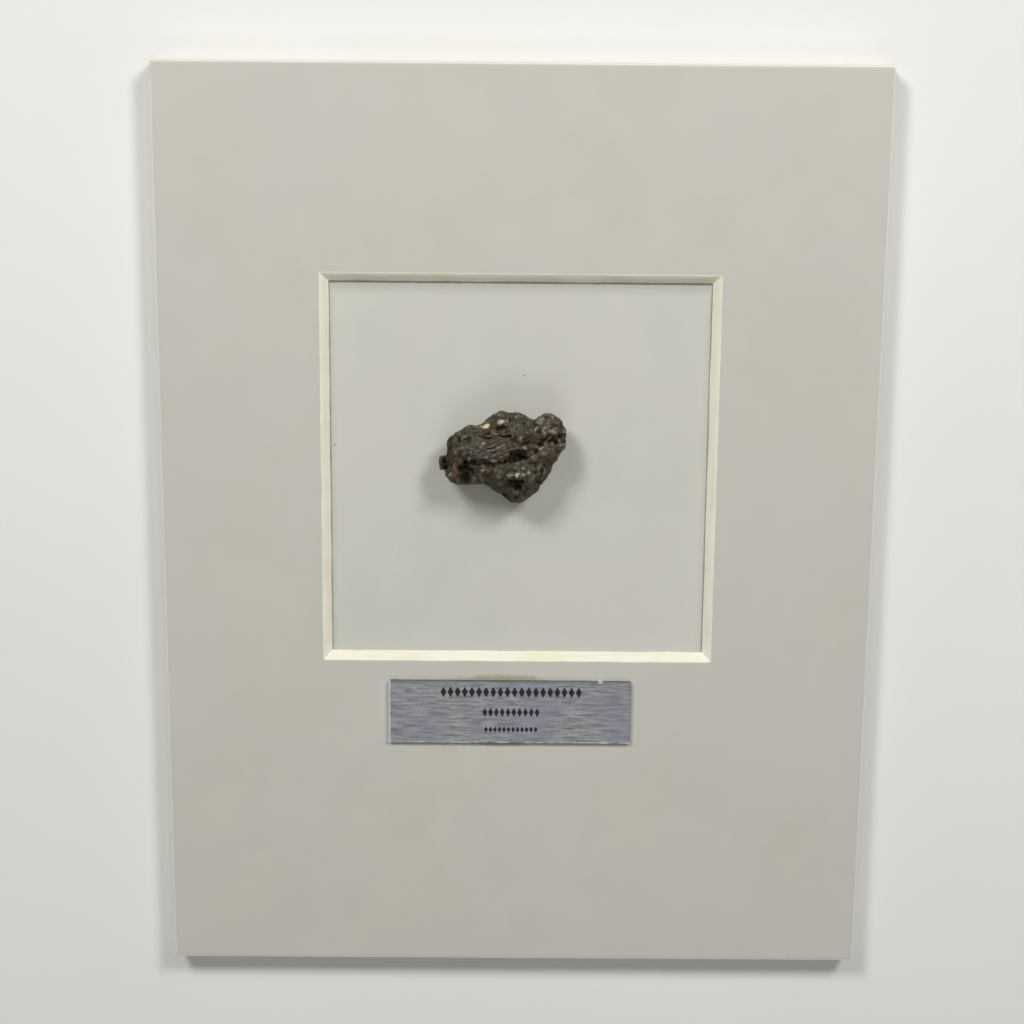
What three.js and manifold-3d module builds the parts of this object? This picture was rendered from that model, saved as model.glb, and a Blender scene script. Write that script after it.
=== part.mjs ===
// A small lunar meteorite, glued by its flat spot to a backing board, in the bevelled
// window of a mat board that also carries a brushed metal label plate.
// Millimetres. +Z points out of the board's face and +Y up the board. The origin is the
// centre of the backing board's back face.
import * as THREE from "three";
import { mergeVertices } from "three/addons/utils/BufferGeometryUtils.js";
import { ImprovedNoise } from "three/addons/math/ImprovedNoise.js";
import Module from "manifold-3d";

// Driving dimensions of the boards
const BOARD_WIDTH = 107.95;
const BOARD_HEIGHT = 139.7;
const BACKING_THICKNESS = 3;
const MAT_THICKNESS = 1.2;
const WINDOW_SIDE = 57.15;
const WINDOW_CENTRE_Y = 9.5;

// Driving dimensions of the label plate
const PLATE_WIDTH = 37.5;
const PLATE_HEIGHT = 10;
const PLATE_THICKNESS = 0.8;
const PLATE_CHAMFER = 0.12;
const PLATE_CENTRE = [-1.1, -28.4];

// Driving dimensions of the stone. Its own frame has its origin at the height of the
// girdle, the widest level, and its axes along the board's.
const STONE_CENTRE = [-2.4, 12.3];
const GIRDLE_HEIGHT = 4; // above the backing board's face
const CROWN_HEIGHT = 3.9; // of the body above the girdle, without its lumps
const KEEL_DEPTH = 4.3; // of the body below the girdle, before the flat spot is taken off
const CROWN_SQUARENESS = 2.5; // 2 is an ellipsoid
const KEEL_SQUARENESS = 1.9;
const BLEND = 1.1; // radius of the hollow where two lumps meet
const NUB_BLEND = 0.3;
const STONE_DETAIL = 17; // divisions of an icosahedron's edge, less one
const STRETCH = [1.2, 1.1, 1]; // crowds the facets towards the stone's ends

// The girdle, seen from the front, anticlockwise from the right-hand end
const OUTLINE = [
  [8.8, 1.8], [8.5, 0.9], [7.7, -0.3], [7.1, -1.6], [6.4, -3.0], [5.1, -4.1], [4.5, -5.4],
  [3.9, -6.1], [2.7, -6.7], [1.5, -6.4], [0.1, -5.9], [-1.5, -5.3], [-2.2, -4.0],
  [-3.1, -3.6], [-4.0, -3.6], [-4.9, -4.0], [-6.0, -4.2], [-6.9, -4.0], [-7.9, -3.4],
  [-8.2, -2.6], [-8.3, -1.8], [-8.4, 0.1], [-8.5, 1.6], [-8.0, 2.6], [-6.8, 3.2],
  [-5.7, 4.2], [-4.6, 4.5], [-3.2, 4.9], [-2.2, 5.3], [-1.1, 6.1], [0.1, 6.7], [0.7, 6.9],
  [1.3, 6.6], [2.7, 6.0], [4.5, 5.8], [5.3, 6.3], [6.3, 6.6], [7.3, 6.4], [8.1, 5.9],
  [8.6, 4.8], [8.9, 3.9], [8.7, 3.1], [9.1, 2.5],
];

// Lumps grown together with the body: [x, y, z], [half length, half width, half height]
// and the turn about Z in degrees.
const LUMPS = [
  { name: "ropy back", at: [-2.2, 1.6, 2.4], half: [5.4, 2.5, 2.2], turn: 5 },
  { name: "top ridge", at: [1.5, 4.5, 1.2], half: [4.0, 1.7, 2.5], turn: -7 },
  { name: "saddle", at: [-0.4, 3.3, 1.5], half: [4.4, 1.6, 2.3], turn: 0 },
  { name: "top knob", at: [0.3, 5.7, 1.3], half: [1.4, 1.1, 1.7], turn: 0 },
  { name: "right head", at: [6.8, 4.4, 0.9], half: [1.8, 1.8, 2.9], turn: 0 },
  { name: "right bead", at: [8.1, 2.7, 0.9], half: [0.8, 1.0, 1.6], turn: 0 },
  { name: "right slope", at: [5.0, 0.6, 1.2], half: [3.9, 1.8, 2.4], turn: 34 },
  { name: "lower lobe", at: [2.3, -2.1, 1.3], half: [3.2, 2.7, 2.8], turn: -28 },
  { name: "lower tip", at: [2.6, -4.6, -0.2], half: [2.0, 1.6, 2.3], turn: 0 },
  { name: "left dome", at: [-5.9, 1.8, 0.9], half: [2.3, 1.9, 2.8], turn: 20 },
  { name: "left shoulder", at: [-3.9, 3.6, 1.0], half: [2.4, 1.1, 2.1], turn: 20 },
  { name: "lower left knob", at: [-6.5, -2.1, 0.3], half: [1.8, 1.8, 2.1], turn: 0 },
  { name: "bridge", at: [-3.4, -1.8, 0.5], half: [2.6, 1.4, 2.0], turn: 5 },
];

// The squarish nub at the left-hand end
const NUB = { at: [-8.6, -0.9, 0.1], half: [0.85, 1.1, 0.8], squareness: 6 };

// Crevices in the crown: a path on the front, with the width and depth of the hollow
const CREVICES = [
  {
    name: "main crevice",
    path: [
      [-5.8, -0.3], [-4.2, -0.6], [-2.4, -0.6], [-0.7, -0.2], [0.9, 0.1], [2.4, 0.1],
      [3.3, 0.9], [4.3, 1.7], [5.6, 2.3], [7.0, 2.8], [8.0, 3.0],
    ],
    width: 0.5,
    depth: 0.55,
  },
  {
    name: "trough",
    path: [[-3.8, 3.5], [-1.9, 3.5], [-0.2, 3.7], [1.6, 3.2]],
    width: 0.5,
    depth: 0.35,
  },
  {
    name: "head notch",
    path: [[4.7, 7.2], [4.8, 5.6], [5.0, 4.4], [4.6, 3.2]],
    width: 0.45,
    depth: 0.4,
  },
  {
    name: "knob hollow",
    path: [[-5.2, -1.4], [-4.7, -2.2], [-4.9, -3.1], [-5.5, -3.8]],
    width: 0.65,
    depth: 0.5,
  },
];

// Round pits in the crown: [x, y], radius and depth
const PITS = [
  { at: [-0.2, 4.8], radius: 0.6, depth: 0.5 },
  { at: [2.2, 0.7], radius: 0.8, depth: 0.5 },
  { at: [4.4, 3.0], radius: 1.1, depth: 0.65 },
  { at: [5.9, 3.0], radius: 0.7, depth: 0.5 },
  { at: [7.6, 3.5], radius: 0.6, depth: 0.4 },
  { at: [-7.0, 2.6], radius: 0.6, depth: 0.4 },
  { at: [-5.6, 3.0], radius: 0.5, depth: 0.35 },
  { at: [0.1, -5.0], radius: 0.6, depth: 0.4 },
  { at: [2.2, -3.9], radius: 0.6, depth: 0.4 },
  { at: [-6.4, -2.6], radius: 0.5, depth: 0.4 },
];

// Lumpiness all over: wavelength and height of each layer of noise
const LUMPINESS = [
  { wavelength: 2.3, height: 0.5 },
  { wavelength: 1.15, height: 0.34 },
];

// Crevices and pits fade out down the stone's side, between these heights.
const FADE_FROM = -0.4;
const FADE_TO = 1.6;

// The search for the stone's surface along a ray
const FAR_OUT = 12;
const MARCH_STEP = 0.1;
const BISECTIONS = 12;

const wasm = await Module();
wasm.setup();

function material(colour, roughness, metalness = 0) {
  return new THREE.MeshStandardMaterial({ color: colour, roughness, metalness });
}

function named(name, geometry, look) {
  const mesh = new THREE.Mesh(geometry, look);
  mesh.name = name;
  return mesh;
}

// Only positions, with shared vertices merged
function bare(geometry) {
  const copy = geometry.clone();
  for (const key of Object.keys(copy.attributes)) {
    if (key !== "position") copy.deleteAttribute(key);
  }
  return mergeVertices(copy, 1e-5);
}

function toSolid(geometry) {
  const merged = bare(geometry);
  return new wasm.Manifold(
    new wasm.Mesh({
      numProp: 3,
      vertProperties: merged.attributes.position.array,
      triVerts: new Uint32Array(merged.index.array),
    }),
  );
}

function toGeometry(solid) {
  const mesh = solid.getMesh();
  const geometry = new THREE.BufferGeometry();
  geometry.setAttribute("position", new THREE.BufferAttribute(mesh.vertProperties, 3));
  geometry.setIndex(new THREE.BufferAttribute(mesh.triVerts, 1));
  geometry.computeVertexNormals();
  return geometry;
}

function backingBoard() {
  const geometry = new THREE.BoxGeometry(BOARD_WIDTH, BOARD_HEIGHT, BACKING_THICKNESS);
  geometry.translate(0, 0, BACKING_THICKNESS / 2);
  return named("backing_board", geometry, material(0xbab8ad, 0.9));
}

// The window's sides slope outwards at 45 degrees, as a bevel cutter leaves them.
function matBoard() {
  const board = new THREE.BoxGeometry(BOARD_WIDTH, BOARD_HEIGHT, MAT_THICKNESS);
  const cutDepth = MAT_THICKNESS * 2;
  const half = WINDOW_SIDE / 2 + MAT_THICKNESS / 2;
  const toCorner = Math.SQRT2;
  const cutter = new THREE.CylinderGeometry(
    (half + cutDepth / 2) * toCorner, (half - cutDepth / 2) * toCorner, cutDepth, 4, 1,
  );
  cutter.rotateY(Math.PI / 4);
  cutter.rotateX(Math.PI / 2);
  cutter.translate(0, WINDOW_CENTRE_Y, 0);
  const geometry = toGeometry(toSolid(board).subtract(toSolid(cutter)));
  geometry.translate(0, 0, BACKING_THICKNESS + MAT_THICKNESS / 2);
  return named("mat_board", geometry, material(0xbab8ad, 0.9));
}

function labelPlate() {
  const x = PLATE_WIDTH / 2 - PLATE_CHAMFER;
  const y = PLATE_HEIGHT / 2 - PLATE_CHAMFER;
  const face = new THREE.Shape([
    new THREE.Vector2(-x, -y), new THREE.Vector2(x, -y),
    new THREE.Vector2(x, y), new THREE.Vector2(-x, y),
  ]);
  const geometry = new THREE.ExtrudeGeometry(face, {
    depth: PLATE_THICKNESS - 2 * PLATE_CHAMFER,
    bevelThickness: PLATE_CHAMFER,
    bevelSize: PLATE_CHAMFER,
    bevelSegments: 1,
    steps: 1,
  });
  geometry.translate(0, 0, PLATE_CHAMFER);
  const mesh = named("label_plate", geometry, material(0x85878a, 0.4, 0.9));
  mesh.position.set(...PLATE_CENTRE, BACKING_THICKNESS + MAT_THICKNESS);
  return mesh;
}

// The girdle's radius at each direction, from a smooth closed curve through the outline
const girdle = (() => {
  const points = OUTLINE.map(([x, y]) => new THREE.Vector3(x, y, 0));
  const curve = new THREE.CatmullRomCurve3(points, true, "centripetal");
  return curve
    .getPoints(OUTLINE.length * 8)
    .map((p) => ({ angle: Math.atan2(p.y, p.x), radius: Math.hypot(p.x, p.y) }))
    .sort((a, b) => a.angle - b.angle);
})();

function girdleRadius(angle) {
  let low = 0;
  let high = girdle.length - 1;
  if (angle <= girdle[low].angle || angle >= girdle[high].angle) return girdle[low].radius;
  while (high - low > 1) {
    const middle = (low + high) >> 1;
    if (girdle[middle].angle > angle) high = middle;
    else low = middle;
  }
  const a = girdle[low];
  const b = girdle[high];
  const share = (angle - a.angle) / Math.max(b.angle - a.angle, 1e-9);
  return a.radius + (b.radius - a.radius) * share;
}

// Distances below are in millimetres and negative inside.
function bodyDistance(p) {
  const across = Math.hypot(p.x, p.y) / girdleRadius(Math.atan2(p.y, p.x));
  const along = Math.abs(p.z) / (p.z > 0 ? CROWN_HEIGHT : KEEL_DEPTH);
  const n = p.z > 0 ? CROWN_SQUARENESS : KEEL_SQUARENESS;
  const size = Math.pow(Math.pow(across, n) + Math.pow(along, n), 1 / n);
  const reach = p.length();
  return reach - reach / Math.max(size, 1e-6);
}

function lumpDistance(p, { at, half, turn }) {
  const angle = THREE.MathUtils.degToRad(turn);
  const x = p.x - at[0];
  const y = p.y - at[1];
  const u = (x * Math.cos(angle) + y * Math.sin(angle)) / half[0];
  const v = (y * Math.cos(angle) - x * Math.sin(angle)) / half[1];
  const w = (p.z - at[2]) / half[2];
  const size = Math.hypot(u, v, w);
  const slope = Math.hypot(u / half[0], v / half[1], w / half[2]);
  return (size * (size - 1)) / Math.max(slope, 1e-6);
}

function nubDistance(p) {
  const n = NUB.squareness;
  const size = Math.pow(
    [p.x, p.y, p.z].reduce((sum, c, i) => sum + Math.pow(Math.abs(c - NUB.at[i]) / NUB.half[i], n), 0),
    1 / n,
  );
  return (size - 1) * Math.min(...NUB.half);
}

function blended(a, b, radius) {
  const overlap = Math.max(radius - Math.abs(a - b), 0) / radius;
  return Math.min(a, b) - (overlap * overlap * radius) / 4;
}

function stoneDistance(p) {
  let distance = bodyDistance(p);
  for (const lump of LUMPS) distance = blended(distance, lumpDistance(p, lump), BLEND);
  return blended(distance, nubDistance(p), NUB_BLEND);
}

// The outermost point of the stone in a direction from its centre
function surfacePoint(direction) {
  const p = new THREE.Vector3();
  let outside = FAR_OUT;
  let inside = FAR_OUT;
  while (inside > MARCH_STEP && stoneDistance(p.copy(direction).multiplyScalar(inside)) > 0) {
    outside = inside;
    inside -= MARCH_STEP;
  }
  for (let i = 0; i < BISECTIONS; i++) {
    const middle = (inside + outside) / 2;
    if (stoneDistance(p.copy(direction).multiplyScalar(middle)) > 0) outside = middle;
    else inside = middle;
  }
  return p.copy(direction).multiplyScalar(inside);
}

function distanceToPath(x, y, path) {
  let nearest = Infinity;
  for (let i = 0; i + 1 < path.length; i++) {
    const [ax, ay] = path[i];
    const [bx, by] = path[i + 1];
    const lengthSquared = (bx - ax) ** 2 + (by - ay) ** 2;
    const share = THREE.MathUtils.clamp(
      ((x - ax) * (bx - ax) + (y - ay) * (by - ay)) / lengthSquared, 0, 1,
    );
    nearest = Math.min(nearest, Math.hypot(x - ax - share * (bx - ax), y - ay - share * (by - ay)));
  }
  return nearest;
}

const noise = new ImprovedNoise();

// How far the finished surface lies inside the smooth one
function hollowDepth(p) {
  const onCrown = THREE.MathUtils.smoothstep(p.z, FADE_FROM, FADE_TO);
  let depth = 0;
  for (const { path, width, depth: deep } of CREVICES) {
    depth += deep * Math.exp(-((distanceToPath(p.x, p.y, path) / width) ** 2)) * onCrown;
  }
  for (const { at, radius, depth: deep } of PITS) {
    depth += deep * Math.exp(-((Math.hypot(p.x - at[0], p.y - at[1]) / radius) ** 2)) * onCrown;
  }
  for (const { wavelength, height } of LUMPINESS) {
    depth -= height * noise.noise(p.x / wavelength, p.y / wavelength, p.z / wavelength);
  }
  return depth;
}

function meteorite() {
  const geometry = bare(new THREE.IcosahedronGeometry(1, STONE_DETAIL));
  const position = geometry.attributes.position;
  const stretch = new THREE.Vector3(...STRETCH);
  const direction = new THREE.Vector3();
  for (let i = 0; i < position.count; i++) {
    direction.fromBufferAttribute(position, i).multiply(stretch).normalize();
    const p = surfacePoint(direction);
    p.addScaledVector(direction, -hollowDepth(p));
    p.z = Math.max(p.z, -GIRDLE_HEIGHT);
    position.setXYZ(i, p.x, p.y, p.z);
  }
  geometry.computeVertexNormals();
  const mesh = named("meteorite", geometry, material(0x423c31, 0.6));
  mesh.position.set(...STONE_CENTRE, BACKING_THICKNESS + GIRDLE_HEIGHT);
  return mesh;
}

const group = new THREE.Group();
group.add(backingBoard(), matBoard(), labelPlate(), meteorite());

export default group;
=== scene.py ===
"""A small lunar meteorite fixed in the bevelled window of a mat board, with a label plate.

Metres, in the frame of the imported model: +Z out of the mat's face and +Y up the mount.
Values named _MM and the lists of the stone's features are in millimetres.
"""

import math

import bmesh
import bpy
import numpy as np
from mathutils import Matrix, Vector, kdtree, noise
from mathutils.bvhtree import BVHTree


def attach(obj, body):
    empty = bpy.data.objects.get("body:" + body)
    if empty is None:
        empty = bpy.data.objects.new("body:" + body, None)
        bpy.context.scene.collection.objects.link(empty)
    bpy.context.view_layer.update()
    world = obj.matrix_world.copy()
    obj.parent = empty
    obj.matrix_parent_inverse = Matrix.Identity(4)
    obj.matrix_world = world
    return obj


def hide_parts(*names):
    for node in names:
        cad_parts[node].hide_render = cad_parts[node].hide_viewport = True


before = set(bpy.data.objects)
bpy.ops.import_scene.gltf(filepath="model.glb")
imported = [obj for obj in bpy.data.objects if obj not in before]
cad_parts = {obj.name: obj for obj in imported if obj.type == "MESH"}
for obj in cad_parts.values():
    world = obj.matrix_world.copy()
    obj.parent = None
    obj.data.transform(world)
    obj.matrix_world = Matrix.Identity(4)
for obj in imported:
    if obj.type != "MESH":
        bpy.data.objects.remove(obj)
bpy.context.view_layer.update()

MM = 0.001

# The camera, fitted to the corners of the photograph's window and label plate
CAMERA_PLACE = (-0.00294, 0.07453, 0.31154)
CAMERA_TURN_DEG = (-13.058, -0.243, 0.505)
LENS_MM = 73.1
SENSOR_MM = 36

# The studio: name, place, width and height, power
LAMPS = [
    ("upper_left", (-0.234, 0.372, 0.408), (0.14, 0.14), 1.8),
    ("upper_right", (0.258, 0.36, 0.408), (0.14, 0.14), 1.8),
    ("overhead", (0.0, 0.1, 0.75), (0.5, 0.5), 0.45),
    ("lower_fill", (0.0, -0.66, 0.94), (0.6, 0.4), 2.0),
]
WORLD_TINT = (1.0, 0.99, 0.97, 1)
WORLD_STRENGTH = 0.1
FLOOR_SIDE = 3
FLOOR_DROP = 0.0002

# The boards
BOARD_HALF_MM = (53.975, 69.85)
BACKING_FACE_MM = 3.0
MAT_FACE_MM = 4.2
WINDOW_HALF_MM = 28.575  # at the foot of the slope
WINDOW_FACE_HALF_MM = WINDOW_HALF_MM + MAT_FACE_MM - BACKING_FACE_MM  # at the mat's face
WINDOW_CENTRE_MM = (0.0, 9.5)
WORN_EDGE_MM = 0.15
SIDE_STEPS = 150  # along each side of a board
CUT_UNEVENNESS_MM = 0.09
FACE_SEED = 3.0  # of the cut's unevenness at the mat's face
FOOT_SEED = 8.0  # and lower down

# The mat's outer edge in section: distance in from its side, and height
SIDE_PROFILE_MM = [
    (0.08, BACKING_FACE_MM), (0.0, BACKING_FACE_MM + 0.08), (0.0, MAT_FACE_MM - 0.1),
    (0.03, MAT_FACE_MM - 0.03), (0.1, MAT_FACE_MM), (0.6, MAT_FACE_MM),
]

# The window's edge in section: distance out from its foot and down from the mat's face
WINDOW_PROFILE_MM = [(1.9, 0.0), (1.42, 0.0), (1.27, 0.015), (1.18, 0.06), (0.6, 0.6), (0.0, 1.2)]

# The paper: wavelength of its grain, reach of the painted highlight along the top of the window, and
# stains and marks with their centre and half sizes on the mount. Colours are 0 to 255.
PAPER_GRAIN_MM = 0.35
LIP_HIGHLIGHT_HALF_MM = WINDOW_HALF_MM + 1.3
MAT_STAINS_MM = [((-2.2, -23.3), (9.6, 0.95)), ((-2.4, -33.7), (5.2, 0.75))]
BACKING_MARKS_MM = [
    ((-9.0, 43.2), (0.22, 0.16), (225, 222, 210)),
    ((0.7, 24.0), (0.3, 0.12), (96, 90, 74)),
    ((-27.9, 13.2), (0.2, 0.2), (96, 90, 74)),
    ((1.4, 0.9), (0.26, 0.14), (222, 219, 208)),
    ((-18.7, -2.7), (0.22, 0.15), (220, 217, 206)),
]

# The label plate
PLATE_CENTRE_MM = (-1.1, -28.4)
PLATE_HALF_MM = (18.75, 5.0)
PLATE_CORNERS_MM = (0.1, 0.15, 0.35, 0.12)  # radii, from the lower left corner round
PLATE_BOTTOM_MM = 4.2
PLATE_TOP_MM = 5.0
PLATE_CHAMFER_MM = 0.1
PLATE_FOOT_CHAMFER_MM = 0.05
FILING_STEP_MM = 0.4
FILING_DEPTH_MM = 0.03
NICK_X_MM = 12.9
NICK_HALF_WIDTH_MM = 0.4
NICK_DEPTH_MM = 0.16
CHIP_HALF_MM = (0.45, 0.16)  # of the bright chip at the nick
CHIP_DROP_MM = 0.12

# Rows of plain lozenges where the plate is printed: height on the mount, half length of
# the row, half height, spacing
LOZENGE_ROWS = [(-25.15, 11.0, 0.95, 1.1), (-28.4, 4.5, 0.8, 0.9), (-31.2, 4.2, 0.55, 0.7)]
PRINT_CENTRE_X_MM = -0.9

# The stone's own frame: its origin is at the height of its widest level.
STONE_ORIGIN_MM = np.array([-2.4, 12.3, 7.0])
STRETCH = np.array([1.2, 1.1, 1.0])  # crowds the cells towards the stone's ends
CELLS = 126  # along each side of the six patches of cells
OUTSIDE_MM = 14.0  # from the origin, beyond the stone in every direction
SOLID_SMOOTHING = 12  # rounds that take the solid's facets away
LEAN = 0.213  # the line of sight's lean towards the mount's top, per unit of height
NUB_CENTRE_MM = np.array([-8.75, -0.85, 0.1])
NUB_HALF_MM = np.array([0.78, 0.98, 0.85])
NUB_SQUARENESS = 6  # 2 is an ellipsoid
NUB_CALM = 0.4  # share of the rock's roughness that the nub lacks
ROPE_STRETCH = 3.2
VESICLES = 150
VESICLE_RADII_MM = (0.1, 0.3)
VESICLE_DEPTHS = (0.3, 0.7)  # as a share of the radius

# Small relief and broad hollows for the material: rounds of smoothing that take them away,
# and the height that counts as 1
SMALL_RELIEF = (14, 0.09)
BROAD_RELIEF = (90, 0.42)

# The rock's colours, 0 to 255, in its hollows, on its slopes and on its crests: the hollow tone is
# painted shade and the crest tone a painted highlight
GREY_ROCK = ((21, 17, 10), (67, 62, 47), (134, 127, 107))
BROWN_ROCK = ((26, 15, 7), (74, 56, 39), (126, 103, 82))
OLIVE_ROCK = ((22, 21, 11), (63, 60, 38), (118, 113, 84))

# All the lists below give places and sizes on the stone as the camera sees them.
# Seams: path, width, depth
SEAMS = [
    ([(-5.4, -1.0), (-4.4, -1.3), (-2.7, -1.2), (-0.9, -1.0)], 0.16, 0.14),
    ([(-0.9, -1.0), (0.6, -0.7), (2.0, -0.3), (3.2, -0.1), (4.5, 0.7), (5.3, 1.5)], 0.2, 0.26),
    ([(-4.4, 3.3), (-3.4, 3.0), (-2.4, 2.8), (-1.2, 3.1), (0.1, 3.1), (1.0, 3.2)], 0.18, 0.14),
    ([(4.6, 6.2), (4.7, 5.2), (4.6, 4.4), (4.9, 3.6)], 0.14, 0.24),
    ([(-5.7, -1.4), (-4.9, -2.1), (-4.7, -2.9), (-5.3, -3.8)], 0.3, 0.35),
    ([(-1.6, -2.2), (-1.9, -3.0), (-1.4, -4.0)], 0.2, 0.15),
    ([(0.2, 4.3), (0.8, 5.0), (1.0, 6.0)], 0.16, 0.18),
    ([(2.8, -3.4), (3.4, -4.4), (3.2, -5.6)], 0.16, 0.14),
    ([(-6.9, 3.0), (-6.4, 1.9), (-6.6, 0.6), (-6.1, -0.5)], 0.2, 0.18),
]

# Ropy patches: centre, half length, half width, angle in degrees, spacing, height
ROPES = [
    ((-0.9, 0.9), 2.9, 1.6, 19, 0.56, 0.44),
    ((-4.0, 1.3), 1.5, 1.1, 12, 0.55, 0.16),
    ((-1.2, 3.4), 2.8, 0.9, -3, 0.5, 0.34),
    ((2.8, 5.4), 2.0, 1.1, -10, 0.55, 0.16),
    ((2.4, 3.6), 1.6, 1.0, -38, 0.5, 0.14),
    ((5.7, 0.1), 2.8, 1.2, 37, 0.55, 0.1),
    ((4.2, -4.0), 2.6, 1.5, 74, 0.5, 0.24),
    ((-1.5, -4.3), 1.8, 1.0, -50, 0.55, 0.08),
    ((7.3, 5.0), 1.5, 1.1, -40, 0.55, 0.14),
    ((-2.2, -1.8), 2.0, 0.6, 6, 0.5, 0.14),
]

# Rounded knobs: place, radius, height
KNOBS = [
    ((-8.0, 2.8), 0.55, 0.2), ((-6.7, 3.5), 0.6, 0.16), ((-5.2, 4.2), 0.7, 0.18),
    ((-4.2, 1.5), 1.3, 0.2), ((-7.5, 0.8), 0.9, 0.15), ((-7.1, -2.6), 0.9, 0.2),
    ((-6.2, -0.9), 0.6, 0.16), ((-0.4, 5.3), 0.65, 0.2), ((-0.4, 6.3), 0.6, 0.12),
    ((0.7, 6.6), 0.55, 0.12), ((2.5, 6.0), 0.8, 0.12), ((5.6, 5.5), 0.8, 0.2),
    ((7.0, 6.0), 0.7, 0.18), ((8.2, 5.4), 0.7, 0.18), ((8.8, 4.2), 0.6, 0.16),
    ((6.3, 4.2), 0.9, 0.24), ((7.4, 3.7), 0.5, 0.14), ((6.6, 1.7), 0.6, 0.16),
    ((8.5, 1.4), 0.6, 0.16), ((3.1, 1.4), 0.55, 0.2), ((2.2, 2.7), 0.6, 0.18),
    ((0.3, -1.4), 0.8, 0.2), ((1.9, -2.7), 0.55, 0.2), ((0.9, -2.8), 0.6, 0.12),
    ((3.0, -2.6), 0.6, 0.12), ((2.8, -1.5), 0.6, 0.2), ((5.6, -2.0), 0.85, 0.26),
    ((-0.9, -2.6), 1.0, 0.2), ((1.8, -5.3), 0.8, 0.16), ((2.6, -6.4), 0.6, 0.14),
    ((-3.0, -1.8), 0.8, 0.14), ((4.6, -0.2), 0.7, 0.12),
]

# Dark hollows and pits: place, half sizes, depth, darkness. The darkness is partly painted shade in
# the pits and hollows, partly the rock's own darker tone
HOLLOWS = [
    ((-4.3, -0.85), (0.65, 0.35), 0.4, 1.0), ((-5.5, -0.8), (0.3, 0.3), 0.25, 0.9),
    ((-5.5, -2.6), (0.95, 1.3), 0.55, 1.0), ((-6.2, -1.7), (0.8, 0.4), 0.25, 0.95),
    ((-5.5, 2.6), (0.6, 0.3), 0.2, 0.85), ((-6.6, 2.6), (0.3, 0.4), 0.25, 0.9),
    ((-7.9, 1.2), (0.5, 1.2), 0.1, 0.5), ((-8.0, 2.7), (0.4, 0.35), 0.0, 0.7),
    ((-2.3, 3.5), (0.6, 0.22), 0.25, 1.0), ((0.15, 3.1), (0.75, 0.2), 0.25, 1.0),
    ((-2.1, 2.8), (0.8, 0.16), 0.15, 0.9), ((-0.6, 4.3), (0.9, 0.3), 0.25, 0.95),
    ((-3.9, 3.7), (0.5, 0.16), 0.15, 0.8), ((-0.6, 5.75), (0.4, 0.14), 0.12, 0.8),
    ((2.3, 0.3), (1.25, 0.6), 0.4, 0.85), ((2.5, -0.2), (0.35, 0.28), 0.2, 1.0),
    ((3.3, -0.1), (0.4, 0.3), 0.25, 1.0), ((1.2, 0.5), (0.25, 0.2), 0.2, 1.0),
    ((4.8, 1.0), (0.5, 0.25), 0.2, 0.85), ((5.5, 1.9), (0.5, 0.3), 0.3, 1.0),
    ((5.7, 2.7), (0.55, 0.17), 0.18, 0.9), ((6.9, 2.9), (1.1, 0.5), 0.12, 0.55),
    ((8.4, 3.3), (0.45, 0.35), 0.28, 1.0), ((7.8, 2.25), (0.35, 0.3), 0.25, 1.0),
    ((8.95, 2.4), (0.35, 0.25), 0.2, 0.9), ((7.7, 4.9), (0.4, 0.18), 0.12, 0.7),
    ((7.1, 4.3), (0.2, 0.35), 0.12, 0.75), ((4.6, 5.9), (0.18, 0.25), 0.12, 0.9),
    ((1.4, -4.2), (1.5, 0.75), 0.35, 0.9), ((2.3, -4.7), (0.45, 0.3), 0.25, 1.0),
    ((2.8, -3.8), (0.28, 0.25), 0.18, 0.9), ((1.6, -3.7), (1.3, 0.3), 0.22, 0.8),
    ((0.2, -5.7), (0.6, 0.35), 0.25, 1.0), ((1.9, -6.1), (0.35, 0.28), 0.2, 0.9),
    ((4.7, -0.9), (0.28, 0.22), 0.22, 1.0), ((6.1, -1.1), (0.18, 0.16), 0.12, 0.8),
    ((1.6, -2.1), (0.35, 0.16), 0.15, 0.9), ((5.7, -2.2), (0.22, 0.4), 0.24, 0.95),
    ((5.4, -3.8), (0.4, 0.35), 0.15, 0.7), ((-8.75, -0.3), (0.25, 0.25), 0.2, 0.95),
    ((1.9, 4.3), (0.25, 0.2), 0.15, 0.8), ((1.4, 5.9), (0.2, 0.3), 0.12, 0.6),
    ((-9.0, -0.9), (0.8, 1.3), 0.0, 0.85), ((-6.6, -3.3), (1.0, 0.5), 0.0, 0.35),
    ((-7.6, 0.9), (0.9, 1.5), 0.0, 0.4), ((-1.3, -4.6), (1.0, 1.0), 0.0, 0.35),
    ((-3.0, -0.6), (0.9, 0.4), 0.05, 0.35), ((-8.5, -1.6), (0.3, 0.2), 0.15, 0.8),
]
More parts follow.
